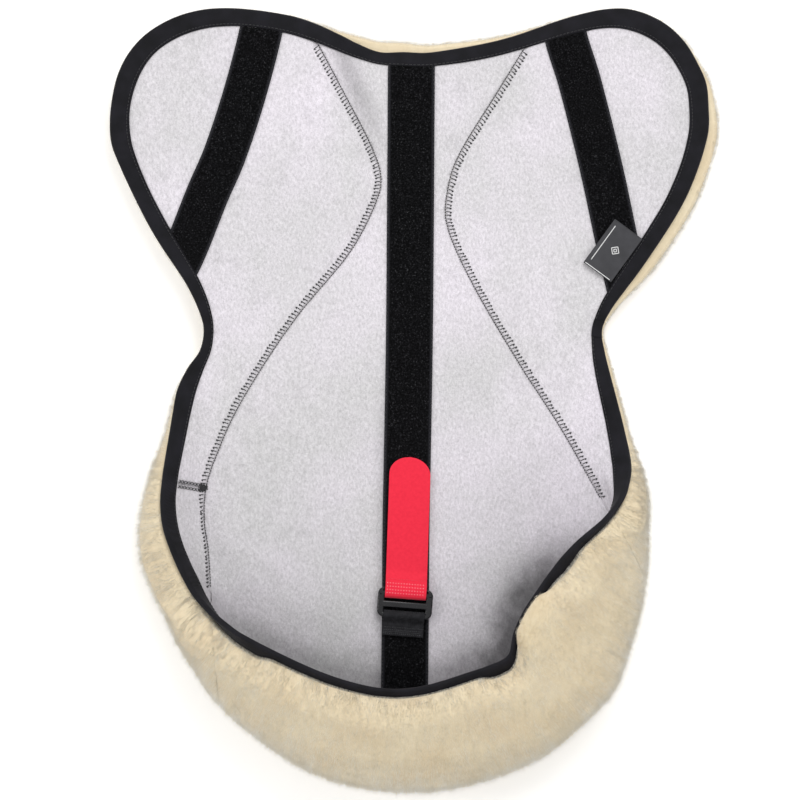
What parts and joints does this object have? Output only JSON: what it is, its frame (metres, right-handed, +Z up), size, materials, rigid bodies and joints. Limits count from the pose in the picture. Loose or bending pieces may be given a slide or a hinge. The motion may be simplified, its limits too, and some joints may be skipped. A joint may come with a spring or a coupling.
{
  "type": "breastplate liner pad",
  "caption": "Lambskin liner pad for a breastplate: shield outline, wool outside, bound edge, rolled lower rim, loop strips and a hook tab on a plastic slide.",
  "frame": {"origin": "middle of the bounding box, on the surface the pad lies on", "axes": "+Z up from the wool to the suede side, +Y from the rolled lower rim to the two upper lobes, +X to the right seen from above"},
  "size_m": [0.4888, 0.6217, 0.1202],
  "materials": {
    "suede": "pale grey-lilac tanned suede, matt, fine short nap",
    "wool": "dense cream lamb's wool pile",
    "binding_tape": "near-black woven tape, fine twill",
    "loop_tape": "black brushed loop face, woven selvedges",
    "black_webbing": "black plain-weave webbing",
    "black_thread": "black sewing thread",
    "black_plastic": "moulded black plastic, semi-gloss",
    "red_hook_tape": "bright red hook tape, finely woven back",
    "red_thread": "red sewing thread",
    "label_tape": "charcoal satin-woven label tape"
  },
  "bodies": {
    "pad": {"centre_skin": "suede", "left_skin": "suede", "right_skin": "suede", "lower_left_skin": "suede", "centre_fleece": "wool", "left_fleece": "wool", "right_fleece": "wool", "lower_left_fleece": "wool", "edge_binding": "binding_tape", "binding_thread": "black_thread", "left_seam_thread": "black_thread", "right_seam_thread": "black_thread", "cross_seam_thread": "black_thread", "centre_loop_strip": "loop_tape", "left_loop_strip": "loop_tape", "right_loop_strip": "loop_tape", "strap_keeper": "black_webbing", "keeper_thread": "black_thread", "folded_label": "label_tape"},
    "slide": {"slide_buckle": "black_plastic"},
    "tab": {"hook_tab": "red_hook_tape", "tab_thread": "red_thread"}
  },
  "joints": [
    {"name": "slide_pivot", "type": "hinge", "parent": "pad", "child": "slide", "pos_m": [-0.0072, -0.1722, 0.0332], "axis": [0.9971, -0.0767, 0], "range_deg": [0, 40]},
    {"name": "tab_pivot", "type": "hinge", "parent": "slide", "child": "tab", "pos_m": [-0.0059, -0.15525, 0.0332], "axis": [0.9971, -0.0767, 0], "range_deg": [0, 90]}
  ]
}
